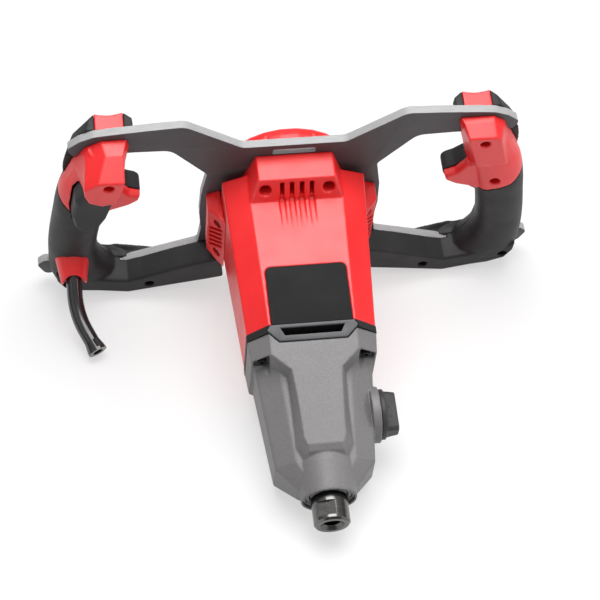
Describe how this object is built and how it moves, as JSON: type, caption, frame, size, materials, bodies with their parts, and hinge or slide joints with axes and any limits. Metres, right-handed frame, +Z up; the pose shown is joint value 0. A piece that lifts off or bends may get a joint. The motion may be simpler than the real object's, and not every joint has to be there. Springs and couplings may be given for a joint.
{
  "type": "mixing drill",
  "caption": "Two-handled mixing drill: faceted motor housing and cast gear case on a plate frame with grip handles, trigger, speed selector and a threaded spindle.",
  "frame": {"origin": "on the floor, at the middle of the resting tool's box", "axes": "+X to the right handle, +Y from the spindle nose to the rear cap, +Z up; the tool rests on its lower arm covers and gear case, motor axis 16.2 degrees nose-down"},
  "size_m": [0.3746, 0.2933, 0.1899],
  "materials": {
    "plate": "textured dark grey coat",
    "red_plastic": "satin moulded red",
    "dark_plastic": "soft-touch dark grey",
    "badge": "satin",
    "cast_case": "blasted die casting",
    "screw_steel": "zinc plated",
    "steel": "turned",
    "lamination": "stacked sheet",
    "copper": "enamelled",
    "bearing_steel": "polished",
    "carbon": "matte",
    "rubber": "black"
  },
  "bodies": {
    "machine": {"frame_plate": "plate", "motor_housing": "red_plastic", "badge_plate": "badge", "vent_cover_right": "red_plastic", "vent_cover_left": "red_plastic", "rear_cap": "red_plastic", "bearing_flange": "dark_plastic", "exhaust_frame": "cast_case", "gear_case": "cast_case", "gear_case_screws": "screw_steel", "frame_bolts": "screw_steel", "vent_cover_screws": "screw_steel", "armature_rear_bearing": "bearing_steel", "armature_front_bearing": "bearing_steel", "stator_core": "lamination", "field_coils": "copper", "brush_holders": "copper", "carbon_brushes": "carbon", "countershaft_bearings": "bearing_steel", "gear_carrier_plate": "cast_case", "spindle_rear_bearing": "bearing_steel", "spindle_front_bearing": "bearing_steel", "spindle_seal": "rubber", "right_rear_insert": "red_plastic", "left_rear_insert": "red_plastic", "right_front_shell": "dark_plastic", "right_rear_shell": "dark_plastic", "left_rear_shell": "dark_plastic", "right_front_cap": "red_plastic", "left_front_cap": "red_plastic", "left_front_shell": "dark_plastic", "trigger_pin": "steel", "trigger_spring": "steel", "switch_module": "dark_plastic", "handle_screws": "screw_steel", "cable_gland": "red_plastic", "cable_sleeve": "rubber"},
    "armature": {"armature_shaft": "steel", "armature_core": "lamination", "armature_windings": "copper", "commutator": "copper", "cooling_fan": "dark_plastic", "armature_pinion": "steel"},
    "countershaft": {"countershaft": "steel", "countershaft_gear": "steel", "countershaft_high_pinion": "steel", "countershaft_low_pinion": "steel"},
    "spindle": {"spindle": "steel", "spindle_low_gear": "steel", "spindle_circlip": "steel"},
    "high_gear": {"spindle_high_gear": "steel"},
    "selector": {"selector_knob": "dark_plastic", "selector_shaft": "steel"},
    "fork": {"shift_fork": "steel"},
    "sleeve": {"shift_sleeve": "steel"},
    "trigger": {"trigger": "dark_plastic"}
  },
  "joints": [
    {"name": "armature_spin", "type": "hinge", "parent": "machine", "child": "armature", "pos_m": [0, 0.10471, 0.09221], "axis": [0, -0.9603, -0.279], "continuous": true},
    {"name": "countershaft_spin", "type": "hinge", "parent": "machine", "child": "countershaft", "pos_m": [-0.02125, 0.10471, 0.09221], "axis": [0, -0.9603, -0.279], "continuous": true},
    {"name": "spindle_spin", "type": "hinge", "parent": "machine", "child": "spindle", "pos_m": [0, 0.10471, 0.09221], "axis": [0, -0.9603, -0.279], "continuous": true},
    {"name": "high_gear_spin", "type": "hinge", "parent": "machine", "child": "high_gear", "pos_m": [0, 0.10471, 0.09221], "axis": [0, -0.9603, -0.279], "continuous": true},
    {"name": "selector_turn", "type": "hinge", "parent": "machine", "child": "selector", "pos_m": [0.042, -0.06511, 0.03871], "axis": [-1, 0, 0], "range_deg": [0, 90]},
    {"name": "fork_shift", "type": "slide", "parent": "machine", "child": "fork", "axis": [0, 0.9603, 0.279], "range_m": [0, 0.0035]},
    {"name": "sleeve_spin", "type": "hinge", "parent": "fork", "child": "sleeve", "pos_m": [0, 0.10471, 0.09221], "axis": [0, -0.9603, -0.279], "continuous": true},
    {"name": "trigger_squeeze", "type": "hinge", "parent": "machine", "child": "trigger", "pos_m": [-0.137, 0.06613, 0.14973], "axis": [1, 0, 0], "range_deg": [0, 7], "stiffness_Nm_per_rad": 0.6, "springref_deg": -14.32}
  ],
  "couplings": [
    {"joint": "countershaft_spin", "follows": "armature_spin", "ratio": -0.41667},
    {"joint": "spindle_spin", "follows": "armature_spin", "ratio": 0.17361},
    {"joint": "high_gear_spin", "follows": "armature_spin", "ratio": 0.29167},
    {"joint": "sleeve_spin", "follows": "armature_spin", "ratio": 0.17361},
    {"joint": "selector_turn", "follows": "fork_shift", "rad_per_m": 448.8}
  ]
}
